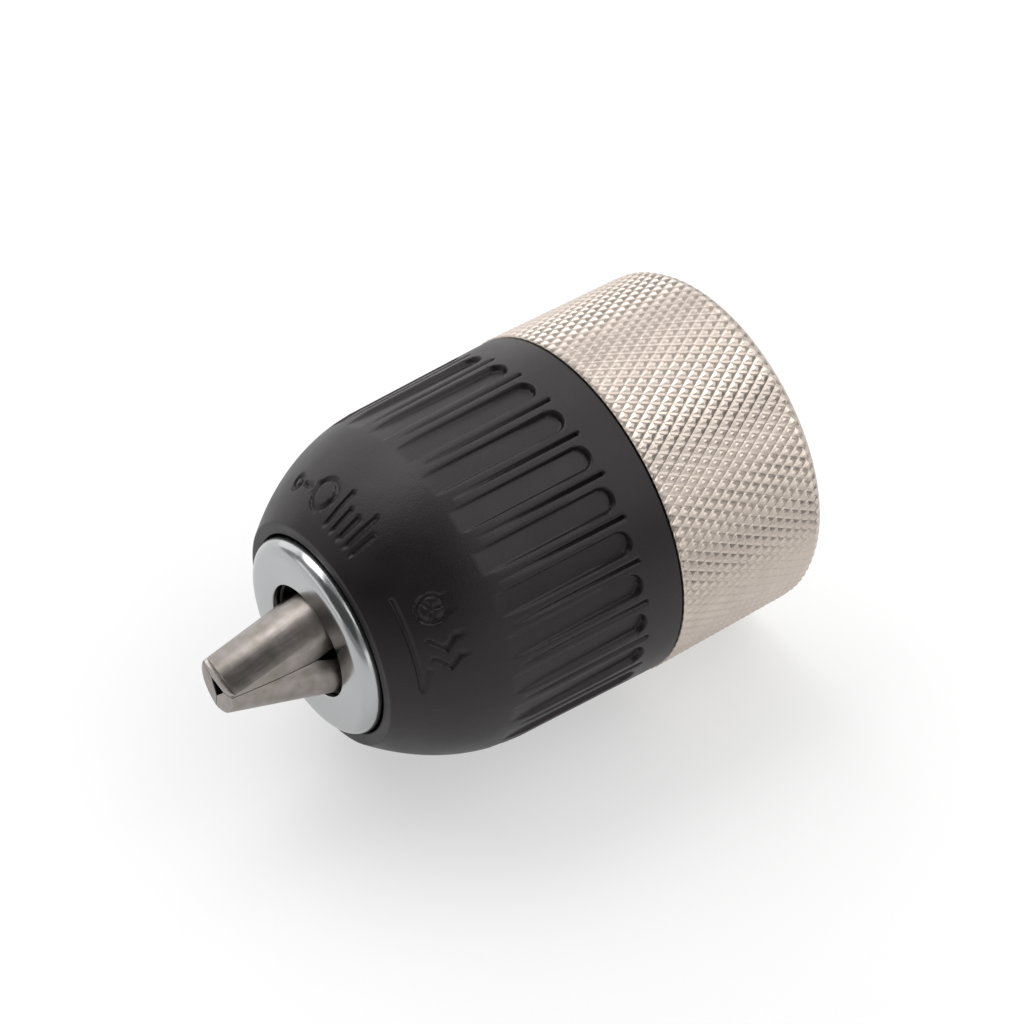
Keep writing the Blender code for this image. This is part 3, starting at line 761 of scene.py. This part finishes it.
def apply_modifiers(piece):
    """Turns what a piece's modifiers make into its mesh."""
    bpy.context.view_layer.update()
    graph = bpy.context.evaluated_depsgraph_get()
    solid = bpy.data.meshes.new_from_object(piece.evaluated_get(graph))
    piece.modifiers.clear()
    piece.data = solid


def rounded_edges(piece, width, angle):
    """Rounds every edge that is sharper than an angle in degrees."""
    bevel = piece.modifiers.new("edges", "BEVEL")
    bevel.width = width * MM
    bevel.segments = 2
    bevel.limit_method = "ANGLE"
    bevel.angle_limit = math.radians(angle)
    apply_modifiers(piece)


def sliced(shape, point, outward):
    """Cuts off what lies beyond a plane and closes the cut."""
    everything = shape.verts[:] + shape.edges[:] + shape.faces[:]
    found = bmesh.ops.bisect_plane(shape, geom=everything, plane_co=Vector(point) * MM, plane_no=outward,
                                   clear_outer=True, dist=SAME_PLACE)
    rim = [item for item in found["geom_cut"] if isinstance(item, bmesh.types.BMEdge)]
    bmesh.ops.contextual_create(shape, geom=rim)


def add_walls(shape, near, far):
    """Joins two closed outlines with the same number of points by a wall of quads."""
    for i in range(len(near)):
        j = (i + 1) % len(near)
        shape.faces.new((near[i], near[j], far[j], far[i]))


def prism_cutter(index, outline, sweep):
    """Cutter with a flat outline, swept along a direction, in the axis frame turned to a jaw's bearing."""
    shape = bmesh.new()
    near = [shape.verts.new(point * MM) for point in outline]
    far = [shape.verts.new((point + sweep) * MM) for point in outline]
    shape.faces.new(near)
    shape.faces.new(far)
    add_walls(shape, near, far)
    cutter = new_object("prism_cutter", shape)
    cutter.matrix_world = AXIS_FRAME @ Matrix.Rotation(jaw_bearing(index), 4, "Z")
    return cutter


def tip_step(index):
    """Cutter of the step on the outer side of a jaw's tip: a wall, and a ledge square to the rod."""
    front, foot = NOSE_TIP - OVERCUT, NOSE_TIP + TIP_STEP_DEPTH
    reach = (foot - front) / math.tan(JAW_ANGLE)
    outline = [(TIP_STEP_START, front), (TIP_STEP_START, foot), (TIP_STEP_START + reach, front)]
    return prism_cutter(index, [Vector((x, -BEYOND, z)) for x, z in outline], Vector((0, 2 * BEYOND, 0)))


def flank_relief(index, side):
    """Cutter that sets one flank of a jaw back behind its tip, down a short slope."""
    flank = math.pi / JAW_COUNT
    outward = Vector((-math.sin(flank), side * math.cos(flank), 0))
    along = Vector((math.cos(flank), side * math.sin(flank), 0))
    outline = [
        (0, RELIEF_FRONT), (-RELIEF_DEPTH, RELIEF_SLOPE_END), (-RELIEF_DEPTH, RELIEF_REAR), (0, RELIEF_REAR),
    ]
    points = [outward * away - along * RELIEF_INSIDE + Vector((0, 0, z)) for away, z in outline]
    return prism_cutter(index, points, along * RELIEF_WIDTH)


def jaw_edge(station):
    """Radius of the outermost line of a jaw at a station."""
    return (station - JAW_CROSSING) * math.tan(JAW_ANGLE) + JAW_RADIUS / math.cos(JAW_ANGLE)


def add_groove(shape, section, station, bearing, shift):
    """Adds the cutter of one thread groove, which follows the nut's conical thread past a jaw."""
    rings = []
    for step in range(GROOVE_STEPS + 1):
        angle = bearing + GROOVE_HALF_SPAN * (2 * step / GROOVE_STEPS - 1)
        middle = station + LEAD * angle / (2 * math.pi)
        ring = []
        for offset, beyond in section:
            radius = jaw_edge(middle + offset) + beyond
            point = Vector((radius * math.cos(angle), radius * math.sin(angle), middle + offset)) + shift
            ring.append(shape.verts.new(point * MM))
        rings.append(ring)
    for near, far in zip(rings, rings[1:]):
        add_walls(shape, near, far)
    shape.faces.new(rings[0])
    shape.faces.new(rings[-1][::-1])


def groove_cutters(index):
    """The thread grooves of one jaw: the nut's thread, repeated along the jaw's centre line."""
    bearing = jaw_bearing(index)
    middle = (NUT_FRONT + NUT_REAR) / 2
    phase = LEAD * bearing / (2 * math.pi)
    nearest = round(-phase / LEAD)
    along = Vector((math.cos(bearing) * math.tan(JAW_ANGLE), math.sin(bearing) * math.tan(JAW_ANGLE), 1))
    low, high = -CREST_DEPTH - CLEARANCE, CREST_DEPTH
    low_half, high_half = [CREST_HALF_WIDTH + FLANK_SLOPE * (beyond + CREST_DEPTH) + THREAD_CLEARANCE
                           for beyond in (low, high)]
    section = [(-low_half, low), (-high_half, high), (high_half, high), (low_half, low)]
    shape = bmesh.new()
    turns = math.ceil((NUT_REAR - JAW_THREAD_FRONT) / LEAD)
    for step in range(-turns, turns):
        if JAW_THREAD_FRONT <= middle + phase + (nearest + step) * LEAD <= JAW_THREAD_REAR:
            add_groove(shape, section, middle + nearest * LEAD, bearing, along * step * LEAD)
    cutter = new_object("groove_cutters", shape)
    cutter.matrix_world = AXIS_FRAME
    return cutter


def ground_rod():
    """A jaw's rod in its own frame: cut off square to the spin axis, with its grip land and two flanks."""
    shape = cylinder(JAW_RADIUS, JAW_FRONT, JAW_REAR, ROD_SIDES)
    middle = (JAW_FRONT + JAW_REAR) / 2 * MM
    rim = [edge for edge in shape.edges if all(vert.co.z > middle for vert in edge.verts)]
    bmesh.ops.bevel(shape, geom=rim, offset=JAW_REAR_CHAMFER * MM, segments=1, affect="EDGES")
    to_axis = Matrix.Translation((0, 0, JAW_CROSSING * MM)) @ Matrix.Rotation(JAW_ANGLE, 4, "Y")
    shape.transform(to_axis)
    sliced(shape, (0, 0, NOSE_TIP), (0, 0, -1))
    sliced(shape, (LAND_RADIUS, 0, 0), (-1, 0, 0))
    flank = math.pi / JAW_COUNT
    for side in (1, -1):
        normal = Vector((-math.sin(flank), side * math.cos(flank), 0))
        sliced(shape, normal * -JAW_FACE_GAP, normal)
    shape.transform(to_axis.inverted())
    return shape


def make_jaw(index, material, inside):
    """One jaw with its relieved flanks, its tip and its thread. The faces towards the axis get painted shade:
    a near-black steel.
    """
    stepped = index == STEPPED_JAW
    jaw = new_object(f"jaw_{'abc'[index]}_rod", ground_rod())
    jaw.matrix_world = AXIS_FRAME @ rod_matrix(index)
    for side in (1, -1):
        cut(jaw, flank_relief(index, side))
    if stepped:
        cut(jaw, tip_step(index))
    rounded_edges(jaw, STEPPED_JAW_EDGE if stepped else PLAIN_JAW_EDGE, angle=7)
    cut(jaw, groove_cutters(index))
    smooth(jaw, material, sharp=30)
    jaw.data.materials.append(inside)
    # Faces that lean towards the axis take the near-black steel as painted shade
    for face in jaw.data.polygons:
        face.material_index = int(face.normal.x < SHADE_FACE_LEAN)
    return jaw


# ------------------------------------------------------------ inner pieces

def make_body(material, inside):
    """The body, with its three jaw bores and a socket bored out for the threaded wall."""
    profile = [
        (BIT_BORE + BIT_BORE_CHAMFER, BODY_FRONT), (NOSE_RADIUS - EDGE, BODY_FRONT),
        (NOSE_RADIUS, BODY_FRONT + EDGE), (NOSE_RADIUS, NOSE_SHOULDER),
        (BARREL_RADIUS, NOSE_SHOULDER), (BARREL_RADIUS, BARREL_REAR),
        (NUT_SEAT_RADIUS, NUT_SEAT_FRONT), (NUT_SEAT_RADIUS, NUT_REAR), (WAIST_RADIUS, NUT_REAR),
        (WAIST_RADIUS, PILOT_FRONT), (PILOT_RADIUS, PILOT_FRONT), (PILOT_RADIUS, FLANGE_FRONT),
        (FLANGE_RADIUS - EDGE, FLANGE_FRONT), (FLANGE_RADIUS, FLANGE_FRONT + EDGE),
        (FLANGE_RADIUS, FLANGE_REAR - EDGE), (FLANGE_RADIUS - EDGE, FLANGE_REAR), (TAIL_RADIUS, FLANGE_REAR),
        (TAIL_RADIUS, SEAT_FRONT), (SEAT_RADIUS - EDGE, SEAT_FRONT), (SEAT_RADIUS, SEAT_FRONT + EDGE),
        (SEAT_RADIUS, SEAT_REAR), (HUB_RADIUS, SEAT_REAR), (HUB_RADIUS, HUB_FACE - HUB_CHAMFER),
        (HUB_RADIUS - HUB_CHAMFER, HUB_FACE), (SOCKET_MOUTH, HUB_FACE),
        (SOCKET_MOUTH - SOCKET_CHAMFER, HUB_FACE - SOCKET_CHAMFER),
        (SOCKET_WALL_SEAT, HUB_FACE - SOCKET_CHAMFER), (SOCKET_WALL_SEAT, SOCKET_FLOOR),
        (SCREW_HOLE, SOCKET_FLOOR), (SCREW_HOLE, BIT_BORE_END),
        (BIT_BORE, BIT_BORE_END), (BIT_BORE, BODY_FRONT + BIT_BORE_CHAMFER),
    ]
    body = turned("chuck_body_core", profile, BODY_SIDES, material)
    travel = (CAPACITY_RADIUS - LAND_RADIUS) / math.sin(JAW_ANGLE)
    bore_rear = JAW_REAR + travel + CLEARANCE
    for index in range(JAW_COUNT):
        bore = new_object("jaw_bore", cylinder(JAW_BORE_RADIUS, JAW_BORE_FRONT, bore_rear, BORE_SIDES))
        bore.matrix_world = AXIS_FRAME @ rod_matrix(index)
        cut(body, bore)
    smooth(body, material)
    body.data.materials.append(inside)
    # Painted shade: every face ahead of the socket's floor, the bit bore and jaw bores included, takes the
    # near-black steel
    painted_shade_end = (SEAM + SOCKET_FLOOR - OVERCUT) * MM
    for face in body.data.polygons:
        face.material_index = int(face.center.y < painted_shade_end)
    return body


def make_socket_wall(material):
    """The threaded wall of the spindle socket, with a plain undercut beside the socket's floor."""
    front, rear = SOCKET_FLOOR + SOCKET_WALL_GAP, HUB_FACE - SOCKET_CHAMFER - SOCKET_WALL_GAP
    rows = np.linspace(front, rear, SOCKET_ROWS)
    bearings = np.linspace(0, 2 * math.pi, ROD_SIDES, endpoint=False)

    # The share of the thread's depth: 1 along the bottom of its groove, 0 on the crest, straight between
    turn = (rows[:, None] / SOCKET_PITCH - bearings / (2 * math.pi)) % 1
    groove = np.clip(1.25 - np.abs(turn - 0.5) * 3, 0, 1)
    run_out = smooth_step((rows - SOCKET_FLOOR - UNDERCUT_LENGTH) / RUN_OUT_LENGTH)[:, None]
    wall = SOCKET_RADIUS + SOCKET_DEPTH * np.maximum(groove, 1 - run_out)
    outer = np.full((2, bearings.size), SOCKET_WALL_SEAT - SOCKET_WALL_GAP)
    stations = np.repeat(np.concatenate([rows, [rear, front]])[:, None], bearings.size, 1)
    return revolved("socket_thread", bearings, np.concatenate([wall, outer]), stations, material, sharp=50)


def make_nut_half(name, side, material):
    """Half of the conical nut, with the thread that drives the jaws."""
    gap = math.asin(CLEARANCE / 2 / NUT_MIDDLE_RADIUS)
    bearings = np.linspace(gap, math.pi - gap, NUT_COLUMNS) + (math.pi if side < 0 else 0)
    rows = np.linspace(NUT_FRONT, NUT_REAR, NUT_ROWS)
    middle = (NUT_FRONT + NUT_REAR) / 2
    crest = np.abs(((rows[:, None] - middle) / LEAD - bearings / (2 * math.pi) + 0.5) % 1 - 0.5) * LEAD
    rise = np.clip((crest - CREST_HALF_WIDTH) / FLANK_SLOPE, 0, CREST_DEPTH + THREAD_ROOT)
    inside = jaw_edge(rows)[:, None] - CREST_DEPTH + rise
    rim = NUT_RADIUS - EDGE
    outside = np.repeat([[rim], [NUT_RADIUS], [NUT_RADIUS], [rim]], bearings.size, 1)
    stations = np.concatenate([rows, [NUT_REAR, NUT_REAR - EDGE, NUT_FRONT + EDGE, NUT_FRONT]])
    return revolved(name, bearings, np.concatenate([inside, outside]),
                    np.repeat(stations[:, None], bearings.size, 1), material, sharp=30, whole=False)


def make_nut_band(material):
    """The band round the nut, with the lugs that key it to the front sleeve."""
    rim = BAND_OUTER - EDGE
    profile = [(BAND_INNER, NUT_FRONT), (rim, NUT_FRONT), (BAND_OUTER, NUT_FRONT + EDGE),
               (BAND_OUTER, NUT_REAR - EDGE), (rim, NUT_REAR), (BAND_INNER, NUT_REAR)]
    band = turned("nut_drive_band", profile, BODY_SIDES, material)
    outward = Matrix.Translation((LUG_RADIUS * MM, 0, (NUT_FRONT + NUT_REAR) / 2 * MM))
    for index in range(LUG_COUNT):
        shape = bmesh.new()
        bmesh.ops.create_cube(shape, size=1, matrix=Matrix.Diagonal((*[side * MM for side in LUG_SIZE], 1)))
        lug = new_object("lug", shape)
        lug.matrix_world = AXIS_FRAME @ Matrix.Rotation(2 * math.pi * index / LUG_COUNT, 4, "Z") @ outward
        rounded_edges(lug, EDGE, angle=30)
        cut(band, lug, "UNION")
    return smooth(band, material)


def make_race(name, inner, side, material):
    """A bearing washer with a ball groove. side is 1 for the rear one."""
    face, back = BALL_STATION + side * RACE_FACE, BALL_STATION + side * RACE_BACK
    half = math.degrees(math.asin(RACE_FACE / RACE_GROOVE))
    groove = arc(PITCH_RADIUS, BALL_STATION, RACE_GROOVE, side * half, side * (180 - half), 12)
    profile = [(RACE_OUTER - EDGE, back), (RACE_OUTER, back - side * EDGE), (RACE_OUTER, face), *groove,
               (inner, face), (inner, back)]
    return turned(name, profile, RING_SIDES, material)


def ball_places():
    """The number and the centre of each ball."""
    for index in range(BALL_COUNT):
        angle = 2 * math.pi * index / BALL_COUNT
        centre = Vector((PITCH_RADIUS * math.cos(angle), PITCH_RADIUS * math.sin(angle), BALL_STATION))
        yield f"{index + 1:02d}", centre


def make_cage(material):
    """The cage plate, with a pocket for each ball."""
    front, rear = BALL_STATION - CAGE_HALF_THICKNESS, BALL_STATION + CAGE_HALF_THICKNESS
    profile = [(CAGE_INNER, front), (CAGE_OUTER, front), (CAGE_OUTER, rear), (CAGE_INNER, rear)]
    cage = turned("ball_cage_plate", profile, RING_SIDES, material)
    for _, centre in ball_places():
        pocket = new_object("pocket", cylinder(POCKET_RADIUS, -POCKET_REACH, POCKET_REACH, POCKET_SIDES))
        pocket.matrix_world = AXIS_FRAME @ Matrix.Translation(centre * MM)
        cut(cage, pocket)
    return smooth(cage, material)


def make_balls(material):
    """The balls, which share one mesh, each with its number."""
    shape = bmesh.new()
    bmesh.ops.create_icosphere(shape, subdivisions=BALL_SUBDIVISIONS, radius=BALL_RADIUS * MM)
    first = smooth(new_object("bearing_ball_01", shape), material)
    for number, centre in ball_places():
        ball = first
        if number != "01":
            ball = bpy.data.objects.new(f"bearing_ball_{number}", first.data)
            bpy.context.scene.collection.objects.link(ball)
        ball.matrix_world = AXIS_FRAME @ Matrix.Translation(centre * MM)
        yield number, ball


# ----------------------------------------------------------- stage, camera

def make_floor():
    """A pale floor that glows a little, so that only a soft shadow shows on it."""
    shape = bmesh.new()
    bmesh.ops.create_grid(shape, x_segments=1, y_segments=1, size=FLOOR_HALF_SIZE)
    floor = new_object("floor", shape)
    floor.location = (0, 0, FLOOR_LEVEL)
    paint = new_material("pale_floor", (FLOOR_GREY, FLOOR_GREY, FLOOR_GREY), 0.7, 0.0, 0.1)
    shader_input(paint, "Emission Color").default_value = (1, 1, 1, 1)
    shader_input(paint, "Emission Strength").default_value = FLOOR_GLOW
    floor.data.materials.append(paint)


def direction(azimuth, elevation):
    """Direction from the chuck, in degrees. Azimuth 0 is on the -Y side and 90 on the +X side."""
    a, e = math.radians(azimuth), math.radians(elevation)
    return Vector((math.sin(a) * math.cos(e), -math.cos(a) * math.cos(e), math.sin(e)))


def face_back(thing, away, place):
    """Puts a light, card or camera at a place and turns it to look back against a direction."""
    thing.location = place
    thing.rotation_mode = "QUATERNION"
    thing.rotation_quaternion = away.to_track_quat("Z", "Y")


def add_panel(name, azimuth, elevation, width, height, radiance):
    """A soft light panel that looks at the chuck."""
    away = direction(azimuth, elevation)
    data = bpy.data.lights.new(name, "AREA")
    data.shape = "RECTANGLE"
    data.size, data.size_y = width, height
    data.energy = radiance * math.pi * width * height
    panel = bpy.data.objects.new(name, data)
    face_back(panel, away, away * PANEL_DISTANCE)
    bpy.context.scene.collection.objects.link(panel)


def add_flag(name, azimuth, elevation, distance, width, height):
    """A dark card out of view, whose reflection keeps a side of the chuck dark."""
    away = direction(azimuth, elevation)
    shape = bmesh.new()
    bmesh.ops.create_grid(shape, x_segments=1, y_segments=1, size=0.5)
    bmesh.ops.scale(shape, verts=shape.verts, vec=(width, height, 1))
    flag = new_object(name, shape)
    face_back(flag, away, away * distance)
    flag.data.materials.append(new_material("dark_card", (CARD_GREY, CARD_GREY, CARD_GREY), 0.9, 0.0, 0.0))


def make_light():
    """An even world, soft panels round the chuck, and two dark cards."""
    world = bpy.data.worlds.new("studio")
    world.use_nodes = True
    background = world.node_tree.nodes["Background"]
    background.inputs["Color"].default_value = (1.0, 1.0, 1.0, 1)
    background.inputs["Strength"].default_value = WORLD_STRENGTH
    bpy.context.scene.world = world
    add_panel("low_left", azimuth=260, elevation=18, width=1.1, height=0.6, radiance=1.15)
    add_panel("high_left", azimuth=279, elevation=58, width=0.8, height=0.56, radiance=2.9)
    add_panel("back", azimuth=190, elevation=62, width=0.9, height=0.7, radiance=1.25)
    add_panel("right", azimuth=124, elevation=43, width=0.66, height=0.85, radiance=1.35)
    add_panel("front", azimuth=340, elevation=12, width=0.9, height=0.30, radiance=0.9)
    add_panel("rear", azimuth=184, elevation=9, width=0.7, height=0.26, radiance=1.0)
    add_panel("low_right", azimuth=90, elevation=5, width=0.45, height=0.30, radiance=1.0)
    add_flag("camera_flag", azimuth=28, elevation=45, distance=0.62, width=0.88, height=0.62)
    add_flag("right_flag", azimuth=137, elevation=7, distance=0.50, width=0.34, height=0.22)


def make_camera():
    """The camera, aimed at the seam between the sleeves with a small shift of its frame."""
    away = direction(CAMERA_AZIMUTH, CAMERA_ELEVATION)
    data = bpy.data.cameras.new("camera")
    data.lens, data.sensor_width = CAMERA_LENS, CAMERA_SENSOR
    camera = bpy.data.objects.new("camera", data)
    aim = Vector((0, SEAM * MM, 0)) + away.to_track_quat("Z", "Y") @ Vector((*CAMERA_SHIFT, 0))
    face_back(camera, away, aim + away * CAMERA_DISTANCE)
    bpy.context.scene.collection.objects.link(camera)
    bpy.context.scene.camera = camera


def put(piece, body, slot, *nodes):
    """Lets a finished piece stand for its CAD nodes and move with their body."""
    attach(piece, body)
    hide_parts(*nodes)


PLASTIC = black_plastic()
NICKEL = nickel_plate()
BRIGHT = bright_plate()
JAW = jaw_steel()
STEEL = machined_steel()
# Painted shade: near-black steel for the body's bores and the jaws' inner faces
PAINTED_SHADE = painted_shade_steel()
POLISHED = polished_steel()
BRASS = cage_brass()

put(make_front_sleeve(PLASTIC), "sleeve", "black_plastic", "front_sleeve")
put(make_rear_sleeve(NICKEL), "chuck", "knurled_nickel", "rear_sleeve")
put(make_nose_ring(BRIGHT), "chuck", "bright_ring", "nose_ring")
for number, letter in enumerate("abc"):
    put(make_jaw(number, JAW, PAINTED_SHADE), f"jaw_{letter}", "jaw_steel", f"jaw_{number + 1}")

put(make_body(STEEL, PAINTED_SHADE), "chuck", "body_steel", "chuck_body")
thread = make_socket_wall(STEEL)
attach(thread, "chuck")
put(make_nut_half("nut_half_a", 1, STEEL), "sleeve", "body_steel", "split_nut_a")
put(make_nut_half("nut_half_b", -1, STEEL), "sleeve", "body_steel", "split_nut_b")
put(make_nut_band(STEEL), "sleeve", "body_steel", "nut_band")
put(make_race("front_washer", FRONT_RACE_INNER, -1, POLISHED), "sleeve", "bearing_steel", "race_front")
put(make_race("rear_washer", REAR_RACE_INNER, 1, POLISHED), "chuck", "bearing_steel", "race_rear")
put(make_cage(BRASS), "bearing", "cage_brass", "ball_cage")
for number, ball in make_balls(POLISHED):
    put(ball, "bearing", "bearing_steel", f"ball_{number}")

make_floor()
make_light()
make_camera()
bpy.context.scene.view_settings.view_transform = "Standard"
